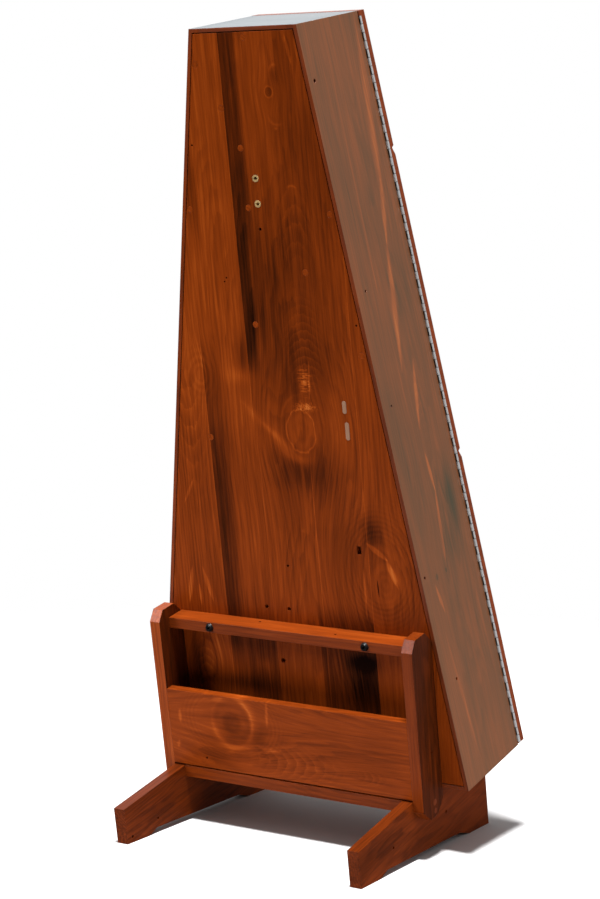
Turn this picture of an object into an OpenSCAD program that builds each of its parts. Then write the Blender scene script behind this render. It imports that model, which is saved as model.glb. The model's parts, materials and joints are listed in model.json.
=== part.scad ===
// Upright hammered dulcimer in a tall tapered pine case with a side-hinged door,
// leaning back on a pine floor stand that has a music pocket behind the case.
// Frame: +Z up, the door faces -Y, the back panel and the pocket face +Y.
// Origin: on the floor, in the middle of the whole object's width and depth.

/* [Case] */
// Height of the case, measured along its lean
case_h = 1165; // [1100:5:1200]
// Width of the case at its bottom
bottom_w = 560; // [540:2:600]
// Width of the case at its top
top_w = 183; // [175:1:210]
// Depth of the case without its door
case_d = 183; // [178:1:200]
// Thickness of the side, top and bottom boards
board_t = 18; // [16:0.5:20]
// Thickness of the back panel
back_t = 12; // [10:0.5:14]
// Width of the rim that the case boards show round the back panel
back_lip = 6; // [5:0.5:8]
// Shadow gap left round the back panel
back_gap = 1.4; // [0.2:0.1:1.5]
// Angle that the case leans back from upright
lean = 12; // [9:0.5:14]

/* [Door] */
// Thickness of the door boards
door_t = 18.5; // [16:0.5:20]
// Gap between the case and the closed door, filled by the hinge leaves
door_gap = 3; // [3:0.5:4]
// Distance that the door stands past the case on its latch side
door_over = 4; // [0:0.5:8]
// Height of the joint between the lower and the middle door board
lower_joint = 481; // [420:1:520]
// Height of the joint between the middle and the upper door board
upper_joint = 957; // [900:1:980]
// Depth of the V groove along each board joint
groove_d = 6; // [4:0.5:8]

/* [Hinge] */
// Length of one knuckle, two to the inch
knuckle = 12.7; // [12.7]
// Number of knuckle pairs along the hinge
knuckle_pairs = 46; // [40:1:46]
// Radius of the hinge barrel
barrel_r = 2.3; // [2:0.1:2.5]
// Radius of the hinge pin
hinge_pin_r = 1.1; // [0.8:0.1:1.2]
// Width of each hinge leaf
leaf_w = 15; // [12:1:16]

/* [Stand] */
// Height of the case's back bottom edge above the floor
lift = 107.4; // [100:1:120]
// Distance from the middle to each foot's outer face
foot_out = 217; // [190:1:225]
// Thickness of the feet
foot_t = 19; // [17:0.5:21]
// Reach of the feet behind the case
foot_back = 239; // [220:1:260]
// Height of the relief cut under each foot
foot_arch = 9; // [6:1:12]
// Height of the uprights above the case bottom
upright_top = 261; // [240:1:280]
// Depth of the uprights behind the case
upright_d = 65; // [55:1:75]
// Thickness of the uprights
upright_t = 18; // [16:0.5:20]
// Height of the music pocket's back panel
pocket_h = 128; // [100:1:150]

/* [Strings] */
// Height of the lowest course of strings
first_course = 75; // [70:1:80]
// Distance between neighbouring courses
course_pitch = 32; // [30:0.5:32]
// Number of treble courses; there is one bass course fewer
treble_count = 16; // [10:1:16]
// Thickness of the strings
string_t = 0.7; // [0.5:0.1:0.9]
// Depth of the soundboard's face from the back of the case
sound_face = 132; // [125:1:135]

/* [Hidden] */

eps = 0.01;      // overrun of a cut past a face
fit_gap = 0.05;  // radial clearance of a plug, dowel, screw or pin in its hole
seat_gap = 0.02; // clearance between pieces that meet on a slanted face
$fn = 48;

// taper of the case
side_slope = (bottom_w - top_w) / 2 / case_h;
taper = atan(side_slope);
side_len = case_h / cos(taper);
board_s = board_t / cos(taper);
function half(v) = bottom_w / 2 - v * side_slope;
function inner_half(v) = half(v) - board_s;

// door and hinge
door_in = case_d + door_gap;
door_out = door_in + door_t;
door_foot = 1;
steep_bevel = 3;
long_bevel = 11;
leaf_t = 1.2;
barrel_w = case_d + door_gap / 2;
barrel_out = 2;
hinge_start = 4;
hinge_len = knuckle_pairs * 2 * knuckle;
leaf_gap = 0.6;
knuckle_gap = 0.3;
hinge_screw_pitch = 8 * knuckle;
hinge_screw_count = floor(hinge_len / hinge_screw_pitch);
hinge_screw_r = 1.4;
hinge_screw_len = 13;
hinge_head_r = 2.5;
hinge_screw_in = 7.5;

// door inside
batten_s = 70;
batten_w = 28;
batten_t = 10;
batten_low = 60;
batten_high = 1050;
batten_screw_r = 2;
batten_screw_v = [110, 420, 540, 900, 1000];
knob_v = 520;
knob_s = half(knob_v) - 30;
knob_r = 15;
knob_rim_r = 7;
knob_neck_r = 6.5;
catch_v = [300, 900];
catch_t = 12;
catch_half = 20;
catch_d = 17;
catch_screw_dv = 14;
catch_screw_w = 9;
catch_screw_r = 1.5;
catch_head_r = 2.6;
catch_head_in = 10;
strike_half = 16;
strike_t = 1.5;
strike_s = [2, 13];
rack_v = 620;
rack_t = 14;
rack_half = 50;
rack_d = 22;
rack_screw_s = [-2, 44];
rack_screw_r = 1.5;
tool_w = door_in - 11;
hammer_s = [-40, -18];
handle_w = 8;
handle_t = 6;
handle_len = 205;
wrench_s = 24;
wrench_r = 5;
slide_gap = 0.4;

// inserts, plugs and old nail holes in the back panel: distance from the middle, height, radius
insert_s = 0;
insert_v = [906, 944];
insert_r = 4.75;
insert_bore_r = 2.5;
insert_len = 16;
insert_brace_h = 116;
insert_brace_t = 12;
spare_hole = [0, 868];
spare_hole_r = 2.3;
plug_r = 5;
plug_d = 7;
plug_spots = [
  [-1, 1150], [86.5, 1113], [48, 1048], [21, 989], [17, 900], [121.5, 897],
  [-121, 891], [-71, 804], [24, 722], [-155, 681], [126, 539]
];
nail_r = 1.6;
nail_d = 8;
back_nails = [
  [106, 994, 1.6], [68, 793, 1.3], [72, 787, 1.3], [-150, 726, 1.6], [7, 338, 2],
  [12, 266, 3], [53, 266, 3.2], [32, 177, 4]
];
// old nail holes in the hinge side board: distance along the side, depth from the back, radius
side_nails = [[1096, 17, 3], [782, 27, 2], [606, 27, 2], [341, 12, 2.4], [169, 39, 2.4]];
side_nail_d = 5;
// slotted mortise left in one back board
mortise = [-123, 375];
mortise_size = [7, 13];

// stand
rail_v = 226;
rail_t = 17;
rail_d = 38;
upright_low = 36;
// corner cuts of the uprights: both front corners, the top back corner and the low back corner
front_cut = 20;
top_cut = 13;
low_cut = 21;
panel_t = 16;
panel_v = 3;
floor_t = 19;
bolt_s = 140;
bolt_v = rail_v + rail_t / 2;
bolt_r = 3;
bolt_head_r = 7;
bolt_head_t = 4.5;
bolt_len = rail_d + back_t + 14;
bush_r = 5;
bush_len = 17;
bolt_brace_h = 60;
bolt_brace_t = 18;
hex_r = 2.3;
hex_d = 3;
dowel_r = 4;
stand_screw_w = -27;
stand_screw_v = [-13, -27];
stand_screw_r = 2.2;
stand_plug_r = [5, 4];
stand_plug_d = 6;
arch_front = 138;
arch_back = 162;
arch_front_slope = 35;
arch_back_slope = 21;
// old nail holes in the stand: depth and height on the feet, distance across and depth or height elsewhere
right_foot_nails = [[40, -62], [-135, -42]];
left_foot_nails = [[-153, -53], [-224, -52]];
foot_nail_r = 2.4;
rail_nails = [[62, -10], [-82, -24]];
panel_nail = [153, 20];
foot_in = foot_out - foot_t;
upright_out = foot_out + upright_t;
foot_front = case_d + 1;

// strings
block_w = 34;
block_back = 104;
block_face = 140;
rail_w = 8;
rail_h = 6;
rod_r = 1.5;
rod_w = block_face + rail_h + rod_r;
string_rod_w = rod_w + rod_r + string_t / 2 + fit_gap;
bridge_top = 150;
string_bridge_w = bridge_top + 2 * rod_r + string_t / 2 + fit_gap;
string_pin_w = string_rod_w - 0.8;
pair_gap = 3;
tuning_r = 3.5;
hitch_r = 2;
pin_inset = [10, 22];
pin_step = tuning_r + string_t / 2 + fit_gap;
hitch_step = hitch_r + string_t / 2 + fit_gap;
sound_t = 4;
soundhole = [[40, 300, 30], [28, 620, 22]];
brace_v = [180, 420, 540, 720, 860, 1010];
function treble_v(i) = first_course + 2 * course_pitch * i;
function bass_v(i) = first_course + course_pitch * (2 * i + 1);
function rod_s(v) = half(v) - (board_t + block_w - rail_w / 2) / cos(taper);
function pin_s(v, inset) = half(v) - (board_t + inset) / cos(taper);
function treble_s(v) = -0.2 * rod_s(v);
function bass_s(v) = 0.62 * rod_s(v);

// the whole object's middle, before it is moved to the origin
door_edge_s = half(door_foot) + door_over;
barrel_edge_s = bottom_w / 2 - hinge_start * sin(taper) + (barrel_out + barrel_r) * cos(taper);
mid_x = (door_edge_s - barrel_edge_s) / 2;
// world depth and height of a point at depth w and height v of the leaning frame
function world_y(w, v) = v * sin(lean) - w * cos(lean);
function world_z(w, v) = lift + v * cos(lean) + w * sin(lean);
function floor_v(w) = -(lift + w * sin(lean)) / cos(lean);
back_y = world_y(0, case_h);
front_y = world_y(foot_front, floor_v(foot_front));
mid_y = (back_y + front_y) / 2;

// ---- placing helpers ----

// The case's leaning frame: x across, z up the case, -y towards the door
module leaning() {
  translate([-mid_x, -mid_y, lift]) rotate([-lean, 0, 0]) children();
}

// A plate whose outline lies in the back plane, between two depths
module plate(w0, w1) {
  translate([0, -w0, 0]) rotate([90, 0, 0]) linear_extrude(w1 - w0) children();
}

// A piece whose outline lies in the side view (depth backwards, height), between two x
module across(x0, x1) {
  translate([x0, 0, 0]) rotate([90, 0, 90]) linear_extrude(x1 - x0) children();
}

// The hinge side's slanted frame: z along the side, x inwards from its outer face
module on_hinge_side() {
  translate([-bottom_w / 2, 0, 0]) rotate([0, taper, 0]) children();
}

// A round pin or hole along the depth, from w0 to w1
module peg(s, v, w0, w1, r) {
  translate([s, -w0, v]) rotate([90, 0, 0]) cylinder(h = w1 - w0, r = r);
}

// A round pin or hole across the case, from x0 to x1
module cross_peg(x0, x1, w, v, r) {
  translate([x0, -w, v]) rotate([0, 90, 0]) cylinder(h = x1 - x0, r = r);
}

// The case's outline between two heights, drawn in from its sides by inset
module case_outline(v0, v1, inset) {
  polygon([
    [-half(v0) + inset, v0], [half(v0) - inset, v0],
    [half(v1) - inset, v1], [-half(v1) + inset, v1]
  ]);
}

module pine() color([0.55, 0.22, 0.09]) children();
module dark_pine() color([0.38, 0.14, 0.07]) children();
module steel() color([0.72, 0.72, 0.74]) children();
module brass() color([0.82, 0.64, 0.28]) children();
module maple() color([0.78, 0.6, 0.4]) children();
module black() color([0.06, 0.06, 0.06]) children();

// ---- case ----

module side_shape() {
  difference() {
    plate(0, case_d) polygon([
      [-half(0), 0], [-half(0) + board_s, 0],
      [-half(case_h) + board_s, case_h], [-half(case_h), case_h]
    ]);
    plate(-eps, back_t) case_outline(back_lip, case_h - back_lip, back_lip / cos(taper));
  }
}

module hinge_side_board() {
  pine() leaning() difference() {
    side_shape();
    on_hinge_side() {
      for (spot = side_nails)
        translate([-eps, -spot[1], spot[0]]) rotate([0, 90, 0]) cylinder(h = side_nail_d, r = spot[2]);
      hinge_screw_holes(case_d - hinge_screw_len, case_d + eps);
    }
  }
}

module latch_side_board() {
  pine() leaning() difference() {
    mirror([1, 0, 0]) side_shape();
    for (v = catch_v) catch_screw_holes(v);
  }
}

module end_board(v0, v1) {
  difference() {
    plate(0, case_d) case_outline(v0, v1, board_s);
    plate(-eps, back_t) case_outline(back_lip, case_h - back_lip, back_lip);
  }
}

module top_board() {
  pine() leaning() end_board(case_h - board_t, case_h);
}

module bottom_board() {
  pine() leaning() end_board(0, board_t);
}

module back_panel() {
  pine() leaning() difference() {
    plate(0, back_t)
      case_outline(back_lip + back_gap, case_h - back_lip - back_gap, (back_lip + back_gap) / cos(taper));
    for (spot = plug_spots) peg(spot[0], spot[1], -eps, plug_d, plug_r + fit_gap);
    for (spot = back_nails) peg(spot[0], spot[1], -eps, nail_d, spot[2]);
    for (v = insert_v) peg(insert_s, v, -eps, back_t + eps, insert_r + fit_gap);
    peg(spare_hole[0], spare_hole[1], -eps, back_t + eps, spare_hole_r);
    for (side = [-1, 1]) peg(side * bolt_s, bolt_v, -eps, back_t + eps, bolt_r + fit_gap);
    plate(-eps, nail_d) translate(mortise) square(mortise_size, center = true);
  }
}

// A cross brace glued inside the back panel at a given height
module back_brace(v, h, w1) {
  plate(back_t, w1) case_outline(v - h / 2, v + h / 2, board_s);
}

module insert_brace() {
  pine() leaning() difference() {
    back_brace(insert_v[0], insert_brace_h, back_t + insert_brace_t);
    for (v = insert_v)
      peg(insert_s, v, back_t - eps, back_t + insert_brace_t + 1, insert_r + fit_gap);
    peg(spare_hole[0], spare_hole[1], back_t - eps, back_t + insert_brace_t + 1, spare_hole_r);
  }
}

module bolt_brace() {
  pine() leaning() difference() {
    back_brace(bolt_v, bolt_brace_h, back_t + bolt_brace_t);
    for (side = [-1, 1])
      peg(side * bolt_s, bolt_v, back_t - eps, back_t + bolt_brace_t + 1, bush_r + fit_gap);
  }
}

module back_inserts() {
  brass() leaning() for (v = insert_v) difference() {
    union() {
      peg(insert_s, v, 0, insert_len, insert_r);
      peg(insert_s, v, -0.6, 0, insert_r + 0.6);
    }
    peg(insert_s, v, -1, insert_len + eps, insert_bore_r);
    translate([insert_s, 0.6, v]) cube([2 * insert_r + 2, 1, 1.2], center = true);
  }
}

module back_plugs() {
  dark_pine() leaning() for (spot = plug_spots) peg(spot[0], spot[1], 0, plug_d - 0.5, plug_r);
}

// ---- hinge, in the hinge side's frame ----

function own_knuckle(first) = [for (i = [first : 2 : 2 * knuckle_pairs - 1]) i];

module hinge_screw_holes(w0, w1) {
  for (i = [0 : hinge_screw_count - 1])
    peg(hinge_screw_in, hinge_start + hinge_screw_pitch * (i + 0.5), w0, w1, hinge_screw_r + fit_gap);
}

// One leaf with every second knuckle; the leaf lies between w0 and w1, its countersinks open at mouth
module hinge_leaf(first, w0, w1, root_r, mouth_r) {
  on_hinge_side() difference() {
    union() {
      translate([leaf_gap, -w1, hinge_start]) cube([leaf_w, w1 - w0, hinge_len]);
      for (i = own_knuckle(first)) {
        z0 = hinge_start + i * knuckle + knuckle_gap / 2;
        translate([-barrel_out, -w1, z0])
          cube([barrel_out + leaf_gap + eps, w1 - w0, knuckle - knuckle_gap]);
        translate([-barrel_out, -barrel_w, z0]) cylinder(h = knuckle - knuckle_gap, r = barrel_r);
      }
    }
    translate([-barrel_out, -barrel_w, hinge_start - 1])
      cylinder(h = hinge_len + 2, r = hinge_pin_r + fit_gap);
    for (i = [0 : hinge_screw_count - 1])
      translate([hinge_screw_in, -w0 + eps, hinge_start + hinge_screw_pitch * (i + 0.5)])
        rotate([90, 0, 0]) cylinder(h = w1 - w0 + 2 * eps, r1 = root_r, r2 = mouth_r);
  }
}

module hinge_case_leaf() {
  steel() leaning()
    hinge_leaf(0, case_d, case_d + leaf_t, hinge_screw_r + fit_gap, hinge_head_r + fit_gap);
}

module hinge_door_leaf() {
  steel() leaning()
    hinge_leaf(1, door_in - leaf_t, door_in - seat_gap, hinge_head_r + fit_gap, hinge_screw_r + fit_gap);
}

module hinge_pin() {
  steel() leaning() on_hinge_side()
    translate([-barrel_out, -barrel_w, hinge_start + 0.5]) cylinder(h = hinge_len - 1, r = hinge_pin_r);
}

// Countersunk screws: turned is 0 for a head that faces the door, 180 for one that faces the case
module hinge_screws(w, turned) {
  on_hinge_side() for (i = [0 : hinge_screw_count - 1])
    translate([hinge_screw_in, -w, hinge_start + hinge_screw_pitch * (i + 0.5)])
      rotate([90 + turned, 0, 0]) {
        translate([0, 0, -leaf_t]) cylinder(h = leaf_t, r1 = hinge_screw_r, r2 = hinge_head_r);
        translate([0, 0, 1 - hinge_screw_len])
          cylinder(h = hinge_screw_len - 1 - leaf_t + eps, r = hinge_screw_r);
      }
}

module hinge_case_screws() {
  steel() leaning() hinge_screws(case_d + leaf_t, 0);
}

module hinge_door_screws() {
  steel() leaning() hinge_screws(door_in - leaf_t, 180);
}

// ---- door ----

// A door board between two heights; the front edges of its joints are bevelled
module door_board(v0, v1, low_bevel, high_bevel) {
  difference() {
    plate(door_in, door_out) polygon([
      [-half(v0), v0], [half(v0) + door_over, v0], [half(v1) + door_over, v1], [-half(v1), v1]
    ]);
    across(-bottom_w, bottom_w) polygon([
      [-door_out + groove_d, v0], [-door_out - 1, v0 + low_bevel * (1 + 1 / groove_d)],
      [-door_out - 1, v0 - 1], [-door_out + groove_d, v0 - 1]
    ]);
    across(-bottom_w, bottom_w) polygon([
      [-door_out + groove_d, v1], [-door_out - 1, v1 - high_bevel * (1 + 1 / groove_d)],
      [-door_out - 1, v1 + 1], [-door_out + groove_d, v1 + 1]
    ]);
    on_hinge_side() hinge_screw_holes(door_in - eps, door_in + hinge_screw_len);
    for (side = [-1, 1], v = batten_screw_v)
      peg(side * batten_s, v, door_in - eps, door_in + 12, batten_screw_r + fit_gap);
  }
}

module door_lower_board() {
  pine() leaning() door_board(door_foot, lower_joint, eps, long_bevel);
}

module door_middle_board() {
  pine() leaning() difference() {
    door_board(lower_joint, upper_joint, steep_bevel, long_bevel);
    peg(knob_s, knob_v, door_in - eps, door_out + eps, batten_screw_r + fit_gap);
    rack_screw_holes(door_in - eps, door_in + 10);
  }
}

module door_upper_board() {
  pine() leaning() door_board(upper_joint, case_h, steep_bevel, eps);
}

module door_battens() {
  pine() leaning() difference() {
    for (side = [-1, 1])
      plate(door_in - batten_t, door_in)
        translate([side * batten_s, (batten_low + batten_high) / 2])
          square([batten_w, batten_high - batten_low], center = true);
    for (side = [-1, 1], v = batten_screw_v)
      peg(side * batten_s, v, door_in - batten_t - eps, door_in + eps, batten_screw_r + fit_gap);
  }
}

// A round-headed screw along the depth: its head rests at depth w and its shank runs towards the door
module head_screw(s, v, w, len, r) {
  peg(s, v, w - 1.8, w, 1.9 * r);
  peg(s, v, w - eps, w + len, r);
}

module batten_screws() {
  steel() leaning() for (side = [-1, 1], v = batten_screw_v)
    head_screw(side * batten_s, v, door_in - batten_t, batten_t + 11, batten_screw_r);
}

module door_knob() {
  dark_pine() leaning() translate([knob_s, -door_out, knob_v]) rotate([90, 0, 0]) difference() {
    rotate_extrude() union() {
      square([10, 2.5]);
      square([knob_neck_r, 12]);
      translate([0, 9]) square([knob_r - knob_rim_r, 2 * knob_rim_r]);
      translate([knob_r - knob_rim_r, 9 + knob_rim_r]) circle(r = knob_rim_r);
    }
    translate([0, 0, -eps]) cylinder(h = 16, r = batten_screw_r + fit_gap);
  }
}

module knob_screw() {
  steel() leaning() head_screw(knob_s, knob_v, door_in, door_t + 14, batten_screw_r);
}

module rack_screws() {
  steel() leaning() for (s = rack_screw_s)
    head_screw(s, rack_v + rack_t / 2, door_in - rack_d, rack_d + 9, rack_screw_r);
}

// Small screws through the magnet housings into the latch side board
module catch_screws() {
  steel() leaning() for (v = catch_v, dv = [-1, 1] * catch_screw_dv) {
    face = inner_half(v);
    cross_peg(face - catch_head_in, face + 7, case_d - catch_screw_w, v + dv, catch_screw_r);
    cross_peg(face - catch_t - 4, face - catch_head_in, case_d - catch_screw_w, v + dv, catch_head_r);
  }
}

// Holes for the catch screws, with a wide counterbore on the housing's inner side
module catch_screw_holes(v) {
  face = inner_half(v);
  for (dv = [-1, 1] * catch_screw_dv) {
    cross_peg(face - catch_t, face + 8, case_d - catch_screw_w, v + dv, catch_screw_r + fit_gap);
    cross_peg(face - catch_t - 8, face - catch_head_in, case_d - catch_screw_w, v + dv, catch_head_r + 0.1);
  }
}

// A magnet housing on the latch side board's inner face
module catch_magnets() {
  black() leaning() for (v = catch_v) difference() {
    low = inner_half(v - catch_half) - seat_gap;
    high = inner_half(v + catch_half) - seat_gap;
    plate(case_d + 1 - catch_d, case_d + 1) polygon([
      [low - catch_t, v - catch_half], [low, v - catch_half],
      [high, v + catch_half], [high - catch_t, v + catch_half]
    ]);
    catch_screw_holes(v);
  }
}

module catch_strikes() {
  steel() leaning() for (v = catch_v) {
    low = inner_half(v - strike_half);
    high = inner_half(v + strike_half);
    plate(door_in - strike_t, door_in) polygon([
      [low - strike_s[1], v - strike_half], [low - strike_s[0], v - strike_half],
      [high - strike_s[0], v + strike_half], [high - strike_s[1], v + strike_half]
    ]);
  }
}

// ---- tools carried inside the door ----

module rack_screw_holes(w0, w1) {
  for (s = rack_screw_s) peg(s, rack_v + rack_t / 2, w0, w1, rack_screw_r + fit_gap);
}

module tool_rack() {
  maple() leaning() difference() {
    plate(door_in - rack_d, door_in) translate([-rack_half, rack_v]) square([2 * rack_half, rack_t]);
    for (s = hammer_s)
      translate([s, -tool_w, rack_v + rack_t / 2])
        cube([handle_w + 2 * slide_gap, handle_t + 2 * slide_gap, rack_t + 1], center = true);
    translate([wrench_s, -tool_w, rack_v - 1]) cylinder(h = rack_t + 2, r = wrench_r + slide_gap);
    rack_screw_holes(door_in - rack_d - eps, door_in + eps);
  }
}

// A hammer standing head up in the rack: a flat handle and a curved double-faced head
module hammer(s) {
  translate([s, -tool_w, rack_v + rack_t]) {
    translate([0, 0, -handle_len / 2]) cube([handle_w, handle_t, handle_len + 2 * eps], center = true);
    rotate([90, 0, 0]) linear_extrude(10, center = true) difference() {
      translate([-9, 0]) square([18, 34]);
      for (side = [-1, 1]) translate([side * 24, 34]) circle(r = 22);
    }
  }
}

module left_hammer() {
  maple() leaning() hammer(hammer_s[0]);
}

module right_hammer() {
  maple() leaning() hammer(hammer_s[1]);
}

// The leather pad on a hammer head's lower striking face
module hammer_pad(s) {
  translate([s + 9, -tool_w, rack_v + rack_t + 6]) translate([0, -5, -5]) cube([1.2, 10, 10]);
}

module hammer_pads_left() {
  black() leaning() hammer_pad(hammer_s[0]);
}

module hammer_pads_right() {
  black() leaning() hammer_pad(hammer_s[1]);
}

module wrench_shaft() {
  steel() leaning() translate([wrench_s, -tool_w, rack_v - 30]) difference() {
    cylinder(h = 30 + rack_t + 9, r = wrench_r);
    translate([-2.6, -2.6, -eps]) cube([5.2, 5.2, 14]);
  }
}

module wrench_handle() {
  dark_pine() leaning() translate([wrench_s, -tool_w, rack_v + rack_t + 8]) difference() {
    union() {
      translate([-28, 0, 0]) rotate([0, 90, 0]) cylinder(h = 56, r = 7.5);
      for (side = [-1, 1]) translate([side * 28, 0, 0]) rotate([0, 90, 0])
        cylinder(h = 4, r1 = side < 0 ? 5 : 7.5, r2 = side < 0 ? 7.5 : 5, center = true);
    }
    translate([0, 0, -10]) cylinder(h = 11.1, r = wrench_r + fit_gap);
  }
}

// ---- stand ----

function foot_points() = [
  [world_y(-foot_back, -seat_gap), world_z(-foot_back, -seat_gap)],
  [world_y(foot_front, -seat_gap), world_z(foot_front, -seat_gap)],
  [front_y, 0],
  [-arch_front, 0], [-arch_front + arch_front_slope, foot_arch],
  [arch_back - arch_back_slope, foot_arch], [arch_back, 0],
  [world_y(-foot_back, floor_v(-foot_back)), 0]
];

module foot(x0, x1) {
  difference() {
    translate([-mid_x, -mid_y, 0]) across(x0, x1) polygon(foot_points());
    leaning() {
      for (v = stand_screw_v) cross_peg(x0 - eps, x1 + eps, stand_screw_w, v, stand_screw_r + fit_gap);
      floor_dowel_holes();
    }
  }
}

module left_foot() {
  pine() difference() {
    foot(foot_in, foot_out);
    leaning() for (spot = left_foot_nails)
      cross_peg(foot_in - eps, foot_in + nail_d, spot[0], spot[1], foot_nail_r);
  }
}

module right_foot() {
  pine() difference() {
    foot(-foot_out, -foot_in);
    leaning() for (spot = right_foot_nails)
      cross_peg(-foot_out - eps, nail_d - foot_out, spot[0], spot[1], foot_nail_r);
  }
}

module upright(side) {
  x0 = side > 0 ? foot_out : -upright_out;
  leaning() difference() {
    across(x0, x0 + upright_t) polygon([
      [0, upright_top - front_cut], [front_cut, upright_top],
      [upright_d - top_cut, upright_top], [upright_d, upright_top - front_cut + 3],
      [upright_d, low_cut - upright_low], [upright_d - low_cut, -upright_low],
      [front_cut, -upright_low], [0, front_cut - upright_low]
    ]);
    for (i = [0, 1]) {
      cross_peg(x0 - eps, x0 + upright_t + eps, stand_screw_w, stand_screw_v[i], stand_screw_r + fit_gap);
      plug_x = side > 0 ? upright_out - stand_plug_d : -upright_out - eps;
      plug_hole_r = stand_plug_r[i] + fit_gap;
      cross_peg(plug_x, plug_x + stand_plug_d + eps, stand_screw_w, stand_screw_v[i], plug_hole_r);
    }
    nail_x = side > 0 ? upright_out - nail_d : -upright_out - eps;
    cross_peg(nail_x, nail_x + nail_d + eps, -25, 69, nail_r);
    rail_dowel_holes();
    panel_dowel_holes();
  }
}

module left_upright() {
  pine() upright(1);
}

module right_upright() {
  pine() upright(-1);
}

// Dowel places in the side view, as depth and height
rail_dowels = [[-12, bolt_v], [-28, bolt_v]];
panel_dowels = [[panel_t / 2 - upright_d, 28], [panel_t / 2 - upright_d, 106]];
floor_dowels = [[-46, -floor_t / 2], [-12, -floor_t / 2]];
dowel_set = 11;

module side_dowels(face, spots, r, grow) {
  for (side = [-1, 1], spot = spots)
    cross_peg(side * face - dowel_set - grow, side * face + dowel_set + grow, spot[0], spot[1], r);
}

module rail_dowel_holes() side_dowels(foot_out, rail_dowels, dowel_r + fit_gap, 1);
module panel_dowel_holes() side_dowels(foot_out, panel_dowels, dowel_r + fit_gap, 1);
module floor_dowel_holes() side_dowels(foot_in, floor_dowels, dowel_r + fit_gap, 1);

module stand_dowels() {
  maple() leaning() {
    side_dowels(foot_out, rail_dowels, dowel_r, 0);
    side_dowels(foot_out, panel_dowels, dowel_r, 0);
    side_dowels(foot_in, floor_dowels, dowel_r, 0);
  }
}

module top_rail() {
  pine() leaning() difference() {
    across(-foot_out, foot_out) translate([0, rail_v]) square([rail_d, rail_t]);
    for (side = [-1, 1]) peg(side * bolt_s, bolt_v, -rail_d - eps, eps, bolt_r + fit_gap);
    for (spot = rail_nails)
      translate([spot[0], -spot[1], rail_v + rail_t - nail_d / 2]) cylinder(h = nail_d, r = 2);
    rail_dowel_holes();
  }
}

module pocket_panel() {
  pine() leaning() difference() {
    across(-foot_out, foot_out) translate([upright_d - panel_t, panel_v]) square([panel_t, pocket_h]);
    peg(panel_nail[0], panel_nail[1], -upright_d - eps, nail_d - upright_d, 1.8);
    panel_dowel_holes();
  }
}

module pocket_floor() {
  pine() leaning() difference() {
    across(seat_gap - foot_in, foot_in - seat_gap) translate([0, -floor_t]) square([upright_d, floor_t]);
    floor_dowel_holes();
  }
}

// Round-headed connector bolts with a hex socket, from the rail into the bushes in the case
module stand_bolts() {
  black() leaning() for (side = [-1, 1]) difference() {
    union() {
      peg(side * bolt_s, bolt_v, -rail_d, bolt_len - rail_d, bolt_r);
      translate([side * bolt_s, rail_d, bolt_v]) rotate([-90, 0, 0])
        cylinder(h = bolt_head_t, r1 = bolt_head_r, r2 = bolt_head_r - 2);
    }
    translate([side * bolt_s, rail_d + bolt_head_t + eps, bolt_v]) rotate([90, 0, 0])
      cylinder(h = hex_d, r = hex_r, $fn = 6);
  }
}

module bolt_bushes() {
  brass() leaning() for (side = [-1, 1]) difference() {
    peg(side * bolt_s, bolt_v, back_t, back_t + bush_len, bush_r);
    peg(side * bolt_s, bolt_v, back_t - eps, back_t + bush_len + eps, bolt_r + fit_gap);
  }
}

module stand_screws() {
  steel() leaning() for (side = [-1, 1], v = stand_screw_v) {
    x_head = side * (upright_out - stand_plug_d);
    x_tip = side * (foot_in + 1);
    cross_peg(min(x_head, x_tip), max(x_head, x_tip), stand_screw_w, v, stand_screw_r);
  }
}

module stand_plugs() {
  dark_pine() leaning() for (side = [-1, 1], i = [0, 1]) {
    x0 = side > 0 ? upright_out - stand_plug_d + 0.3 : -upright_out;
    cross_peg(x0, x0 + stand_plug_d - 0.3, stand_screw_w, stand_screw_v[i], stand_plug_r[i]);
  }
}

// ---- soundbox and strings ----

module pin_block(side) {
  mirror([side > 0 ? 1 : 0, 0, 0]) plate(block_back, block_face) {
    v1 = case_h - board_t;
    polygon([
      [-inner_half(board_t), board_t], [-inner_half(board_t) + block_w / cos(taper), board_t],
      [-inner_half(v1) + block_w / cos(taper), v1], [-inner_half(v1), v1]
    ]);
  }
}

// Centres of the pins of one string of each pair, as a height; up is 1 for the upper string
function pin_v(v, up, step) = v + up * (pair_gap + step);

module each_course() {
  for (i = [0 : treble_count - 1]) {
    course = treble_v(i);
    $v = course;
    children();
  }
  for (i = [0 : treble_count - 2]) {
    course = bass_v(i);
    $v = course;
    children();
  }
}

module pins_at(side, step) {
  each_course() for (up = [-1, 1]) {
    v = pin_v($v, up, step);
    translate([side * pin_s(v, pin_inset[up < 0 ? 1 : 0]), 0, v]) children();
  }
}

module left_pin_block() {
  maple() leaning() difference() {
    pin_block(-1);
    pins_at(-1, hitch_step) peg(0, 0, block_face - 18, block_face + eps, hitch_r + fit_gap);
  }
}

module right_pin_block() {
  maple() leaning() difference() {
    pin_block(1);
    pins_at(1, pin_step) peg(0, 0, block_face - 29, block_face + eps, tuning_r + fit_gap);
  }
}

module tuning_pins() {
  steel() leaning() pins_at(1, pin_step) {
    peg(0, 0, block_face - 28, block_face + 12, tuning_r);
    translate([0, -block_face - 15.9, 0]) cube([4.6, 8, 4.6], center = true);
  }
}

module hitch_pins() {
  steel() leaning() pins_at(-1, hitch_step) peg(0, 0, block_face - 17, block_face + 12, hitch_r);
}

module soundboard() {
  color([0.8, 0.58, 0.36]) leaning() difference() {
    plate(sound_face - sound_t, sound_face)
      case_outline(board_t, case_h - board_t, (board_t + block_w) / cos(taper));
    for (hole = soundhole) peg(hole[0], hole[1], sound_face - sound_t - eps, sound_face + eps, hole[2]);
  }
}

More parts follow.
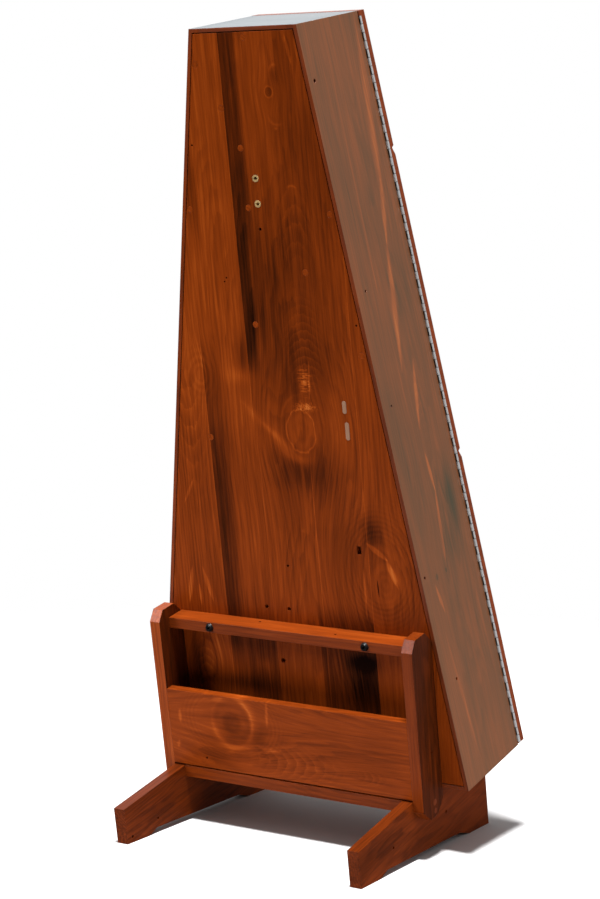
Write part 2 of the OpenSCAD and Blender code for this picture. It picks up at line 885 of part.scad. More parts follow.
module soundboard_braces() {
  maple() leaning() for (v = brace_v)
    plate(block_back, sound_face - sound_t)
      case_outline(v - 8, v + 8, (board_t + block_w) / cos(taper) + seat_gap);
}

// A pierced wooden rose in each soundhole: a rim, a hub and six petals
module rosettes() {
  dark_pine() leaning() for (hole = soundhole)
    plate(sound_face - sound_t, sound_face - 1) translate([hole[0], hole[1]]) {
      r = hole[2] - fit_gap;
      difference() {
        circle(r = r);
        circle(r = r - 3);
      }
      circle(r = r * 0.2);
      for (turn = [0 : 60 : 300]) rotate(turn) difference() {
        translate([r * 0.5, 0]) circle(r = r * 0.46);
        translate([r * 0.5, 0]) circle(r = r * 0.36);
      }
    }
}

module rail(side) {
  v0 = board_t + 20;
  v1 = case_h - board_t - 20;
  inset = board_s + (block_w - rail_w) / cos(taper);
  mirror([side > 0 ? 1 : 0, 0, 0]) plate(block_face, block_face + rail_h) polygon([
    [-half(v0) + inset, v0], [-half(v0) + inset + rail_w / cos(taper), v0],
    [-half(v1) + inset + rail_w / cos(taper), v1], [-half(v1) + inset, v1]
  ]);
}

module left_rail() {
  dark_pine() leaning() rail(-1);
}

module right_rail() {
  dark_pine() leaning() rail(1);
}

module rail_rods() {
  brass() leaning() for (flip = [0, 1]) mirror([flip, 0, 0]) on_hinge_side()
    translate([board_t + block_w - rail_w / 2, -rod_w, 42]) cylinder(h = side_len - 84, r = rod_r);
}

// One bridge foot under a course: wide at the soundboard, waisted, narrow under the string
module bridge_pillar(s, v) {
  translate([s, -sound_face, v]) linear_extrude(12, center = true) mirror([0, 1]) polygon([
    [-8, 0], [8, 0], [8, 3], [4, 8], [3, bridge_top - sound_face],
    [-3, bridge_top - sound_face], [-4, 8], [-8, 3]
  ]);
}

module treble_bridges() {
  dark_pine() leaning() for (i = [0 : treble_count - 1]) bridge_pillar(treble_s(treble_v(i)), treble_v(i));
}

module bass_bridges() {
  dark_pine() leaning() for (i = [0 : treble_count - 2]) bridge_pillar(bass_s(bass_v(i)), bass_v(i));
}

module bridge_rod(s, v) {
  translate([s, -bridge_top - rod_r, v - 6]) cylinder(h = 12, r = rod_r);
}

module bridge_rods() {
  black() leaning() {
    for (i = [0 : treble_count - 1]) bridge_rod(treble_s(treble_v(i)), treble_v(i));
    for (i = [0 : treble_count - 2]) bridge_rod(bass_s(bass_v(i)), bass_v(i));
  }
}

// One pair of strings, each from its hitch pin over a rod, its bridge and a rod to its tuning pin
module course(v, bridge_s) {
  for (up = [-1, 1]) {
    z = v + up * pair_gap;
    inset = pin_inset[up < 0 ? 1 : 0];
    path = [
      [-pin_s(z, inset), string_pin_w], [-rod_s(z), string_rod_w], [bridge_s, string_bridge_w],
      [rod_s(z), string_rod_w], [pin_s(z, inset), string_pin_w]
    ];
    top = [for (p = path) [p[0], -p[1] - string_t / 2]];
    low = [for (i = [4 : -1 : 0]) [path[i][0], -path[i][1] + string_t / 2]];
    translate([0, 0, z]) linear_extrude(string_t, center = true) polygon(concat(top, low));
  }
}

module treble_strings() {
  steel() leaning() for (i = [0 : treble_count - 1]) course(treble_v(i), treble_s(treble_v(i)));
}

module bass_strings() {
  brass() leaning() for (i = [0 : treble_count - 2]) course(bass_v(i), bass_s(bass_v(i)));
}

back_panel();
hinge_side_board();
latch_side_board();
top_board();
bottom_board();
insert_brace();
bolt_brace();
back_inserts();
back_plugs();
hinge_case_leaf();
hinge_door_leaf();
hinge_pin();
hinge_case_screws();
hinge_door_screws();
door_lower_board();
door_middle_board();
door_upper_board();
door_battens();
batten_screws();
door_knob();
knob_screw();
catch_magnets();
catch_strikes();
catch_screws();
rack_screws();
tool_rack();
left_hammer();
right_hammer();
hammer_pads_left();
hammer_pads_right();
wrench_shaft();
wrench_handle();
left_foot();
right_foot();
left_upright();
right_upright();
top_rail();
pocket_panel();
pocket_floor();
stand_bolts();
bolt_bushes();
stand_dowels();
stand_screws();
stand_plugs();
left_pin_block();
right_pin_block();
soundboard();
soundboard_braces();
rosettes();
left_rail();
right_rail();
rail_rods();
treble_bridges();
bass_bridges();
bridge_rods();
treble_strings();
bass_strings();
tuning_pins();
hitch_pins();
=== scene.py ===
import json
import math

import bmesh
import bpy
from mathutils import Matrix, Vector


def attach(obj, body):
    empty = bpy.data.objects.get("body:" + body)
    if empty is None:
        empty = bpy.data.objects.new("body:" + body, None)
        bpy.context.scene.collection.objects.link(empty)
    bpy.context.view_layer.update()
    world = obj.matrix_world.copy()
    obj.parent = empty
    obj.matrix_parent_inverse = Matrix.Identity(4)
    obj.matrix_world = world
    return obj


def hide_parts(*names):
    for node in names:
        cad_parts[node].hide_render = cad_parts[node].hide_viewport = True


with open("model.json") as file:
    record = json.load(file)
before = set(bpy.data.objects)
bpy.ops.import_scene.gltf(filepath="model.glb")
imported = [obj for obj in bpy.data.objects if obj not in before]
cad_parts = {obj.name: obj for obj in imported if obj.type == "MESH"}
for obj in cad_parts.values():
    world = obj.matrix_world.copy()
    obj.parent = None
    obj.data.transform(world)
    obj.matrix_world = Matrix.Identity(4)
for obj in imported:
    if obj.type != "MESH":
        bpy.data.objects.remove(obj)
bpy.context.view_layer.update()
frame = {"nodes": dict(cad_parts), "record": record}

MM = 0.001
NODES = frame["nodes"]
MOUNTS = {m["name"]: m for m in frame["record"]["mounts"]}

# ---- the case's leaning frame: S across, V up the case, W from the back panel towards the door ----

INSERT_HEIGHT = 944 * MM
INSERT_DEPTH = 8 * MM
CASE_H = 1165
BOTTOM_HALF = 280
TOP_HALF = 91.5
TAPER = math.atan((BOTTOM_HALF - TOP_HALF) / CASE_H)

S = Vector((1, 0, 0))
W = -Vector(MOUNTS["upper_insert"]["axis"])
V = (Vector(MOUNTS["upper_insert"]["pos_m"]) - Vector(MOUNTS["lower_insert"]["pos_m"])).normalized()
ORIGIN = Vector(MOUNTS["upper_insert"]["pos_m"]) - V * INSERT_HEIGHT - W * INSERT_DEPTH


def at(s, v, w):
    """The point at s across, v up the case and w in from its back, in millimetres."""
    return ORIGIN + (S * s + V * v + W * w) * MM


# ---- shader graph helper ----

class Graph:
    """One material's node tree; values are numbers or the output sockets of its nodes."""

    def __init__(self, name):
        self.material = bpy.data.materials.new(name)
        self.material.use_nodes = True
        self.tree = self.material.node_tree
        self.tree.nodes.clear()

    def node(self, kind, inputs=None, **settings):
        made = self.tree.nodes.new(kind)
        for key, value in settings.items():
            setattr(made, key, value)
        for key, value in (inputs or {}).items():
            self.feed(made.inputs[key], value)
        return made

    def feed(self, socket, value):
        if isinstance(value, bpy.types.NodeSocket):
            self.tree.links.new(value, socket)
        else:
            socket.default_value = value

    def math(self, operation, *values, clamp=False):
        made = self.node("ShaderNodeMath", operation=operation, use_clamp=clamp)
        for socket, value in zip(made.inputs, values):
            self.feed(socket, value)
        return made.outputs[0]

    def add(self, *values):
        total = values[0]
        for value in values[1:]:
            total = self.math("ADD", total, value)
        return total

    def sub(self, a, b):
        return self.math("SUBTRACT", a, b)

    def mul(self, *values):
        total = values[0]
        for value in values[1:]:
            total = self.math("MULTIPLY", total, value)
        return total

    def div(self, a, b):
        return self.math("DIVIDE", a, b)

    def bell(self, square):
        """Falls smoothly from 1 where square is 0."""
        return self.math("EXPONENT", self.mul(square, -1.0))

    def step(self, value, low, high):
        """0 below low, 1 above high; low may be above high for a falling step."""
        made = self.node("ShaderNodeMapRange", interpolation_type="SMOOTHSTEP", clamp=True)
        for index, item in enumerate((value, low, high, 0.0, 1.0)):
            self.feed(made.inputs[index], item)
        return made.outputs[0]

    def dot(self, vector, axis):
        made = self.node("ShaderNodeVectorMath", {0: vector, 1: axis}, operation="DOT_PRODUCT")
        return made.outputs["Value"]

    def vector(self, x, y, z):
        return self.node("ShaderNodeCombineXYZ", {0: x, 1: y, 2: z}).outputs[0]

    def noise(self, vector, scale=1.0, detail=2.0, rough=0.5):
        """Soft noise between 0 and 1, about 0.5 on average."""
        made = self.node("ShaderNodeTexNoise",
                         {"Vector": vector, "Scale": scale, "Detail": detail, "Roughness": rough})
        return made.outputs["Fac"]

    def ramp(self, value, stops):
        made = self.node("ShaderNodeValToRGB", {"Fac": value})
        points = made.color_ramp.elements
        while len(points) < len(stops):
            points.new(0.5)
        for point, (place, colour) in zip(points, stops):
            point.position = place
            point.color = (*colour, 1)
        return made.outputs["Color"]

    def mix(self, factor, a, b):
        made = self.node("ShaderNodeMix", data_type="RGBA")
        self.feed(made.inputs["Factor"], factor)
        for socket, value in ((made.inputs[6], a), (made.inputs[7], b)):
            self.feed(socket, (*value, 1) if isinstance(value, tuple) else value)
        return made.outputs[2]

    def place(self):
        """The rest position of the shaded point, in metres."""
        return self.node("ShaderNodeTexCoord").outputs["Object"]

    def facing(self, direction):
        """How far the surface is turned towards a direction: 1 where it faces it."""
        return self.dot(self.node("ShaderNodeNewGeometry").outputs["Normal"], direction)

    def finish(self, colour, roughness, height, bump_mm, ease_mm=0.0, **more):
        """Ends the tree in a principled surface; ease_mm is how far its sharp edges look rounded."""
        bump = self.node("ShaderNodeBump", {"Height": height, "Distance": bump_mm * MM, "Strength": 1.0})
        if ease_mm:
            eased = self.node("ShaderNodeBevel", {"Radius": ease_mm * MM}, samples=4)
            self.feed(bump.inputs["Normal"], eased.outputs[0])
        shader = self.node("ShaderNodeBsdfPrincipled", {
            "Base Color": colour, "Roughness": roughness, "Normal": bump.outputs[0], **more})
        self.node("ShaderNodeOutputMaterial", {"Surface": shader.outputs[0]})
        return self.material


# ---- marks in wood: each makes a function of the graph, the point's place on the board and a
# ---- raggedness between -0.5 and 0.5, which gives the tone to add there; sizes in millimetres ----

def oval(g, x, z, centre, reach):
    """The point's offsets from a centre in units of a reach across and along, and their square sum."""
    dx = g.div(g.sub(x, centre[0]), reach[0])
    dz = g.div(g.sub(z, centre[1]), reach[1])
    return dx, dz, g.add(g.mul(dx, dx), g.mul(dz, dz))


def patch(centre, reach, tone):
    """A soft oval cloud."""
    def draw(g, x, z, rag):
        return g.mul(g.bell(oval(g, x, z, centre, reach)[2]), tone)
    return draw


def plank(left, right, low, high, tone, soft=(0.8, 0.8), fade=40):
    """A tone between two places across; soft gives how far its low and high side fade out."""
    def draw(g, x, z, rag):
        edge = g.add(x, g.mul(rag, 2.0))
        across = g.mul(g.step(edge, left - soft[0], left + soft[0]),
                       g.step(edge, right + soft[1], right - soft[1]))
        along = g.mul(g.step(z, low - fade, low + fade), g.step(z, high + fade, high - fade))
        return g.mul(across, along, tone)
    return draw


def seam(place, low, high, tone, width=1.1, fade=20):
    """A thin glued joint or a fine crack along the grain."""
    def draw(g, x, z, rag):
        gap = g.math("ABSOLUTE", g.add(g.sub(x, place), rag))
        along = g.mul(g.step(z, low - fade, low + fade), g.step(z, high + fade, high - fade))
        return g.mul(g.step(gap, width, 0.2), along, tone)
    return draw


def sliver(start, end, width, tone, soft=0.35):
    """A tapered flame of another tone from start to end; soft is how far its edge fades, in widths."""
    run = (end[0] - start[0], end[1] - start[1])
    square = run[0] ** 2 + run[1] ** 2

    def draw(g, x, z, rag):
        dx = g.sub(x, start[0])
        dz = g.sub(z, start[1])
        along = g.add(g.mul(dx, run[0]), g.mul(dz, run[1]))
        share = g.math("ADD", g.mul(along, 1 / square), 0.0, clamp=True)
        ox = g.sub(dx, g.mul(share, run[0]))
        oz = g.sub(dz, g.mul(share, run[1]))
        away = g.math("SQRT", g.add(g.mul(ox, ox), g.mul(oz, oz)))
        swell = g.mul(g.sub(1.0, share), share, 4.0 * width)
        edge = g.add(away, g.mul(rag, 0.5 * width))
        return g.mul(g.step(g.sub(edge, swell), soft * width, -soft * width), tone)
    return draw


def knot(centre, reach, core=-0.05, rim=0.15, rim_width=0.08, halo=0.0, rings=16.0):
    """A round of branch wood: faintly ringed core, rim and soft halo."""
    def draw(g, x, z, rag):
        square = oval(g, x, z, centre, reach)[2]
        away = g.add(g.math("SQRT", square), g.mul(rag, 0.3))
        ringed = g.add(g.mul(g.math("SINE", g.mul(away, rings)), 0.025), core)
        inside = g.mul(g.step(away, 1.05, 0.9), ringed)
        edge = g.mul(g.sub(away, 1.0), 1 / rim_width)
        outside = g.mul(g.bell(g.mul(square, 0.16)), halo)
        return g.add(inside, g.mul(g.bell(g.mul(edge, edge)), rim), outside)
    return draw


def crescent(centre, reach, turn, width, tone):
    """Part of an oval ring, strongest at the angle turn, in degrees from across towards along."""
    def draw(g, x, z, rag):
        dx, dz, square = oval(g, x, z, centre, reach)
        away = g.math("SQRT", square)
        facing = g.add(g.mul(dx, math.cos(math.radians(turn))), g.mul(dz, math.sin(math.radians(turn))))
        edge = g.mul(g.add(g.sub(away, 1.0), g.mul(rag, 0.1)), 1 / width)
        return g.mul(g.bell(g.mul(edge, edge)), g.step(g.div(facing, away), 0.2, 1.0), tone)
    return draw


def arches(centre, reach, pitch, bow, tone):
    """Nested cathedral lines, crisp on one side; bow is above 0 where they arch towards high."""
    def draw(g, x, z, rag):
        mask = g.bell(oval(g, x, z, centre, reach)[2])
        dx = g.sub(x, centre[0])
        rise = g.add(g.sub(z, centre[1]), g.mul(dx, dx, bow))
        part = g.math("FRACT", g.add(g.div(rise, pitch), g.mul(rag, 0.9)))
        line = g.mul(part, part, g.step(part, 1.0, 0.9))
        return g.mul(g.sub(line, 0.25), mask, tone)
    return draw


def ripples(centre, reach, hole, pitch, tone):
    """Fine oval rings that fan out round a knot, between its hole and the reach."""
    def draw(g, x, z, rag):
        away = g.math("SQRT", oval(g, x, z, centre, (1.0, 1.35))[2])
        line = g.math("SINE", g.mul(g.add(away, g.mul(rag, 3.0)), 2 * math.pi / pitch))
        return g.mul(line, g.step(away, hole, hole * 1.3), g.step(away, reach, hole * 1.3), tone)
    return draw


def flecks(centre, reach, tone, grain=(1.6, 1.2)):
    """Torn bright specks scattered in an oval."""
    def draw(g, x, z, rag):
        mask = g.bell(oval(g, x, z, centre, reach)[2])
        speck = g.noise(g.vector(g.div(x, grain[0]), 3.7, g.div(z, grain[1])), detail=3.0, rough=0.6)
        return g.mul(g.step(g.add(speck, g.mul(mask, 0.35)), 0.72, 0.84), mask, tone)
    return draw


# ---- wood ----

PINE_STOPS = [
    (0.0, (0.008, 0.0018, 0.0006)), (0.15, (0.035, 0.0068, 0.0012)), (0.3, (0.075, 0.0122, 0.0016)),
    (0.5, (0.150, 0.0235, 0.0022)), (0.68, (0.228, 0.0365, 0.0032)), (0.84, (0.330, 0.060, 0.006)),
    (1.0, (0.500, 0.130, 0.022)),
]
# painted reflections mixed into the wood's colour: a blue-grey glare where it is seen edge on, and a
# grey-brown sheen on faces turned one way
PAINTED_GLARE_COLOUR = (0.125, 0.142, 0.155)
PAINTED_SHEEN_COLOUR = (0.21, 0.196, 0.11)

# the sizes of the figure's parts: across the face, into it and along the grain, in millimetres
DRIFT, SWAY, WAVE = (95, 95, 520), (70, 70, 300), (9, 9, 60)
FIBRE, STRAND, BAND = (1.1, 1.3, 42), (3.4, 4, 120), (14, 20, 360)
CLOUD, RAG = (60, 60, 170), (7, 7, 16)
DRIFT_MM, SWAY_MM = 60, 50
FIBRE_TONE, STRAND_TONE = 0.32, 0.4
EDGE_MM = 1.5


def board_axes(g, origin, across, depth, along):
    """The point's place in a board's own frame, in millimetres: across the face, into it, along the grain."""
    away = g.node("ShaderNodeVectorMath", {0: g.place(), 1: origin}, operation="SUBTRACT").outputs[0]
    return [g.mul(g.dot(away, axis), 1 / MM) for axis in (across, depth, along)]


def bend_round(g, x, z, eyes):
    """Moves x so that the grain flows round each eye, given as (centre, radius)."""
    bent = x
    for centre, radius in eyes:
        reach = (radius * 2.6, radius * 3.6)
        dx, dz, square = oval(g, x, z, centre, reach)
        bent = g.sub(bent, g.mul(g.bell(square), dx, reach[0] * 0.75))
    return bent


def grain_noise(g, x, y, z, size, shift=0.0, **settings):
    """Noise stretched along the grain to a size in millimetres; shift moves it into the board."""
    into = g.add(g.div(y, size[1]), shift)
    return g.noise(g.vector(g.div(x, size[0]), into, g.div(z, size[2])), **settings)


def wood(name, axes, seed=0.0, tone=0.55, pith=(20.0, 60.0), tilt=(0.02, 0.06), ring=5.5, ring_tone=0.07,
         streak=0.24, cloud=0.3, eyes=(), planks=(), marks=(), stops=PINE_STOPS, painted_sheen=None, painted_glare=None,
         turned=None, gloss=0.34, lacquer=0.3):
    """Stained and lacquered wood, figured in three dimensions so that a board's faces and ends agree.

    Eyes are knots the grain bends round, as (centre, radius), and planks the places across where glued
    boards meet. painted_sheen gives a direction and the share of a painted grey-brown sheen reflection on
    faces turned that way; turned gives a direction and a tone added on such faces, painted light where it is
    above 0 and painted shade where it is below; painted_glare is a painted reflection colour the wood takes
    seen edge on.
    """
    g = Graph(name)
    x, y, z = board_axes(g, *axes)
    shift = seed * 17.0
    for index, place in enumerate(planks):
        shift = g.add(shift, g.mul(g.step(x, place - 0.3, place + 0.3), 37.0 + 11.0 * index))
    sy = g.add(y, shift)
    bent = bend_round(g, x, z, eyes)

    drift = grain_noise(g, x, sy, z, DRIFT, detail=1.0)
    sway = grain_noise(g, x, sy, z, SWAY, shift=9.3)
    wave = grain_noise(g, x, sy, z, WAVE)
    px = g.add(bent, g.mul(g.sub(drift, 0.5), DRIFT_MM), g.mul(z, -tilt[0]), -pith[0])
    py = g.add(y, g.mul(g.sub(sway, 0.5), SWAY_MM), g.mul(z, -tilt[1]), -pith[1])
    radius = g.math("SQRT", g.add(g.mul(px, px), g.mul(py, py)))
    part = g.math("FRACT", g.add(g.div(radius, ring), g.mul(wave, 1.2)))
    late = g.mul(g.step(part, 0.2, 0.85), g.step(part, 1.0, 0.88))
    shows = g.step(sway, 0.38, 0.6)

    fibre = grain_noise(g, bent, sy, z, FIBRE, detail=3.0, rough=0.65)
    strand = grain_noise(g, bent, sy, z, STRAND)
    band = grain_noise(g, bent, sy, z, BAND, detail=3.0, rough=0.55)
    clouds = grain_noise(g, x, sy, z, CLOUD, detail=3.0)
    rag = g.sub(grain_noise(g, x, sy, z, RAG, detail=3.0), 0.5)
    shade = g.add(
        g.mul(g.sub(0.35, late), g.add(0.35, shows), ring_tone),
        g.mul(g.sub(fibre, 0.5), FIBRE_TONE),
        g.mul(g.sub(strand, 0.5), STRAND_TONE),
        g.mul(g.sub(band, 0.5), streak),
        g.mul(g.sub(clouds, 0.5), cloud),
        tone,
    )
    for mark in marks:
        shade = g.add(shade, mark(g, x, z, rag))
    # painted light and shade: a tone added on faces turned one way, lighter for a tone above 0, darker
    # (painted shade) for one below
    if turned:
        shade = g.add(shade, g.mul(g.step(g.facing(turned[0]), 0.4, 0.9), turned[1]))
    colour = g.ramp(g.math("ADD", shade, 0.0, clamp=True), stops)
    # painted reflection: a grey-brown sheen mixed into the colour of faces turned one way
    if painted_sheen:
        colour = g.mix(g.mul(g.step(g.facing(painted_sheen[0]), 0.3, 0.8), painted_sheen[1]), colour, PAINTED_SHEEN_COLOUR)
    # painted reflection: the colour turns blue-grey where the surface is seen edge on
    if painted_glare:
        edge_on = g.node("ShaderNodeLayerWeight", {"Blend": 0.5}).outputs["Facing"]
        colour = g.mix(g.step(edge_on, 0.72, 0.93), colour, painted_glare)
    rough = g.add(gloss, g.mul(g.sub(clouds, 0.5), 0.14), g.mul(late, 0.04))
    height = g.add(g.mul(late, 0.3), g.mul(fibre, 0.4), g.mul(strand, 0.5))
    coat = {"Coat Weight": 0.5 * lacquer, "Coat Roughness": 0.16, "Coat IOR": 1.45}
    return g.finish(colour, rough, height, bump_mm=0.05, ease_mm=EDGE_MM,
                    **{"Specular IOR Level": lacquer, **coat})


# ---- metal, plastic and leather ----

def metal(name, colour, rough=0.3, sheen=0.6):
    """Plated, ground or cast metal with fine scratches and slight staining; sheen is its mirror share."""
    g = Graph(name)
    spot = g.place()
    scratch = g.noise(spot, scale=900.0, detail=3.0, rough=0.7)
    stain = g.noise(spot, scale=60.0, detail=4.0)
    shown = g.mix(g.step(stain, 0.42, 0.75), colour, tuple(0.62 * c for c in colour))
    return g.finish(shown, g.add(rough, g.mul(scratch, 0.16)), scratch, bump_mm=0.02, Metallic=sheen)


def hinge_metal(name, notch_shade):
    """Plated steel with painted shade in the gaps between knuckles; the second argument also paints shade on
    its barrel towards the case, where the notch lies.
    """
    g = Graph(name)
    out, along = board_axes(g, HINGE_START, W, OUT_NEAR, ALONG_NEAR)[1:]
    scratch = g.noise(g.place(), scale=900.0, detail=3.0, rough=0.7)
    # painted shade: a dark line where one knuckle meets the next
    joint = g.math("ABSOLUTE", g.sub(g.math("FRACT", g.add(g.div(along, KNUCKLE), 0.5)), 0.5))
    dark = g.mul(g.step(joint, 0.06, 0.03), 0.8)
    # painted shade on the barrel's case side, standing in for the shadow in the notch behind it
    if notch_shade:
        dark = g.math("MAXIMUM", dark, g.mul(g.step(out, 2.9, 2.4), g.step(out, -0.5, -0.2)))
    shown = g.mix(dark, (0.5, 0.5, 0.5), (0.02, 0.018, 0.016))
    sheen = g.mul(g.sub(1.0, dark), 0.3)
    return g.finish(shown, g.add(0.36, g.mul(scratch, 0.16)), scratch, bump_mm=0.02, Metallic=sheen)


def black_finish(name, metallic=0.0, rough=0.45):
    """Blackened steel or moulded plastic, fine-grained and a little worn."""
    g = Graph(name)
    grit = g.noise(g.place(), scale=1500.0, detail=2.0)
    worn = g.noise(g.place(), scale=220.0, detail=3.0)
    shown = g.mix(g.step(worn, 0.55, 0.85), (0.012, 0.012, 0.013), (0.05, 0.045, 0.04))
    return g.finish(shown, g.add(rough, g.mul(grit, 0.12)), grit, bump_mm=0.04, Metallic=metallic)


def leather(name):
    """Suede with a short nap and pebbled cells."""
    g = Graph(name)
    nap = g.noise(g.place(), scale=2200.0, detail=3.0)
    cells = g.node("ShaderNodeTexVoronoi", {"Vector": g.place(), "Scale": 900.0}).outputs["Distance"]
    shown = g.mix(nap, (0.06, 0.03, 0.018), (0.16, 0.09, 0.05))
    return g.finish(shown, 0.85, g.add(nap, cells), bump_mm=0.15)


def cover(names, material):
    """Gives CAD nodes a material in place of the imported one."""
    for name in names.split():
        mesh = NODES[name].data
        mesh.materials.clear()
        mesh.materials.append(material)


ALONG_NEAR = (S * math.sin(TAPER) + V * math.cos(TAPER)).normalized()
OUT_NEAR = (V * math.sin(TAPER) - S * math.cos(TAPER)).normalized()
ALONG_FAR = (V * math.cos(TAPER) - S * math.sin(TAPER)).normalized()
OUT_FAR = (S * math.cos(TAPER) + V * math.sin(TAPER)).normalized()

KNUCKLE = 12.7
FIRST_KNUCKLE = 4
HINGE_START = at(-BOTTOM_HALF, 0, 0) + ALONG_NEAR * FIRST_KNUCKLE * MM

# each board's frame for its wood: an origin, then the ways across its face, into it and along its grain
STAND_BACK = -65
BACK = (ORIGIN, S, W, V)
HINGE_SIDE = (at(-BOTTOM_HALF, 0, 0), W, OUT_NEAR, ALONG_NEAR)
LATCH_SIDE = (at(BOTTOM_HALF, 0, 0), W, OUT_FAR, ALONG_FAR)
CROSS_TOP = (at(0, CASE_H, 0), W, V, S)
CROSS_BACK = (at(0, 0, STAND_BACK), V, W, S)
UPRIGHT = (at(0, 0, STAND_BACK), W, S, V)
FOOT = (ORIGIN, V, S, W)
PLUG = (ORIGIN, S, V, W)

# ---- the back panel's boards, knots and figure, as seen from behind with S to the left ----

BACK_EYES = [((-39, 558), 25), ((-36, 1070), 8), ((150, 640), 12), ((-165, 322), 30), ((178, 155), 14)]
BACK_PLANKS = [44, 128, -50, -138]
BACK_MARKS = [
    # glued boards and their joints
    plank(44, 320, 560, 1200, 0.10),
    plank(25, 44, 660, 1200, -0.3, soft=(5, 0.8)),
    plank(15, 26, 880, 1240, -0.3, soft=(4, 4), fade=90),
    plank(97, 128, 180, 660, -0.30, soft=(16, 0.8), fade=60),
    plank(40, 97, 0, 240, -0.22, soft=(2, 4), fade=30),
    plank(-138, -40, 0, 262, -0.26, soft=(0.8, 1.5), fade=30),
    seam(44, 560, 1165, 0.14), seam(128, 0, 690, 0.2), seam(40, 0, 520, 0.12),
    seam(-50, 0, 500, 0.2), seam(-138, 0, 900, 0.16),
    # broad clouds
    patch((-85, 955), (42, 120), -0.15), patch((-15, 800), (60, 110), -0.17),
    patch((-100, 690), (40, 110), -0.10), patch((5, 1090), (30, 90), 0.06), patch((70, 760), (30, 90), -0.02),
    patch((52, 672), (13, 32), -0.2), patch((20, 735), (16, 30), -0.08),
    patch((62, 641), (24, 13), 0.16), patch((-45, 492), (62, 34), -0.24), patch((-90, 400), (34, 90), -0.10),
    patch((60, 450), (42, 110), 0.01), patch((10, 360), (46, 90), -0.02), patch((-98, 590), (14, 50), 0.10),
    patch((-30, 660), (60, 60), -0.12), patch((170, 520), (26, 150), 0.02),
    patch((-148, 405), (16, 26), -0.30),
    patch((118, 950), (9, 80), -0.20), patch((150, 205), (14, 60), 0.16), patch((-115, 190), (24, 13), -0.4),
    patch((-112, 150), (30, 40), -0.22), patch((65, 165), (14, 10), 0.12),
    patch((-150, 560), (14, 130), 0.05),
    # the big knot: core, torn flecks, arches above it and pale folds beside and below it
    knot((-39, 558), (25, 34), core=0.05, rim=0.2, rim_width=0.05, halo=0.0, rings=12.0),
    crescent((-39, 558), (46, 46), -48, 0.16, 0.22), crescent((-44, 560), (40, 56), 20, 0.05, 0.12),
    sliver((62, 600), (12, 550), 6.0, 0.10, soft=1.1), sliver((28, 568), (-34, 514), 5.0, 0.13, soft=1.0),
    flecks((-50, 597), (28, 11), 0.42), flecks((-52, 640), (14, 30), 0.4, grain=(9.0, 1.5)),
    sliver((-63, 668), (-59, 610), 1.6, 0.3, soft=0.9),
    arches((-58, 690), (26, 70), 13.0, 0.022, 0.17),
    # cathedral lines and flames near the left edge
    arches((163, 555), (26, 95), 30.0, -0.05, 0.16), ripples((133, 640), 44, 6, 9.0, 0.04),
    sliver((190, 425), (166, 470), 2.4, 0.14), sliver((186, 322), (200, 255), 4.0, 0.2),
    sliver((168, 322), (152, 262), 4.0, 0.18), sliver((177, 292), (176, 255), 3.0, 0.2),
    # the knot at the lower right
    knot((-164, 322), (24, 34), core=0.08, rim=0.06, rim_width=0.1, halo=-0.04, rings=18.0),
    crescent((-158, 330), (28, 52), 128, 0.12, 0.10),
    sliver((-136, 388), (-172, 362), 4.5, 0.22), sliver((-168, 366), (-186, 318), 4.5, 0.22),
    sliver((-127, 345), (-127, 262), 2.0, 0.2), sliver((-150, 330), (-151, 302), 1.0, -0.5),
    ripples((-158, 345), 95, 34, 6.0, 0.035),
    # small knots, swirls and specks
    knot((-36, 1070), (6.5, 8), core=-0.12, rim=0.16, rim_width=0.2, halo=-0.08),
    patch((-48, 1094), (9, 13), -0.14),
    crescent((-48, 1100), (7, 9), 60, 0.3, 0.16), crescent((-46, 1036), (14, 14), -60, 0.16, 0.14),
    patch((-43, 1017), (3, 2), 0.2), crescent((-60, 926), (8, 7), 90, 0.25, 0.2),
    sliver((-70, 1152), (-78, 1108), 2.6, 0.2), sliver((-84, 1150), (-90, 1112), 2.0, 0.12),
    arches((-60, 880), (30, 60), 26.0, 0.05, 0.13), arches((179, 155), (24, 55), 15.0, 0.05, 0.16),
    knot((172, 165), (13, 34), core=0.06, rim=-0.14, rim_width=0.2),
    patch((195, 160), (10, 60), -0.3), patch((110, 130), (60, 16), -0.25), patch((-27, 398), (3, 3), 0.12),
]

# the hinge side board: a pale flame from the hinge at its top to the back at its foot, clouds and knots
SIDE_MARKS = [
    sliver((172, 1175), (140, 912), 8, 0.3, soft=0.7), sliver((141, 930), (119, 836), 6, 0.34, soft=0.6),
    sliver((122, 850), (80, 645), 7, 0.36, soft=0.6), sliver((120, 655), (94, 552), 5, 0.36, soft=0.6),
    sliver((94, 515), (100, 452), 4, 0.36), sliver((100, 458), (84, 338), 4, 0.34),
    sliver((37, 323), (49, 272), 3.5, 0.28), sliver((35, 255), (56, 36), 3, 0.18),
    sliver((70, 1120), (60, 760), 3, 0.14),
    patch((142, 432), (20, 50), -0.34), patch((112, 368), (20, 28), -0.18),
    patch((25, 560), (28, 120), -0.12),
    patch((30, 905), (30, 110), -0.08), knot((48, 330), (4, 5), core=-0.2, rim=-0.1, halo=-0.05),
    knot((80, 331), (3, 4), core=-0.2, rim=-0.1), knot((118, 1010), (5, 6), core=0.0, rim=0.08),
    arches((110, 590), (22, 60), 16.0, 0.04, 0.08),
]

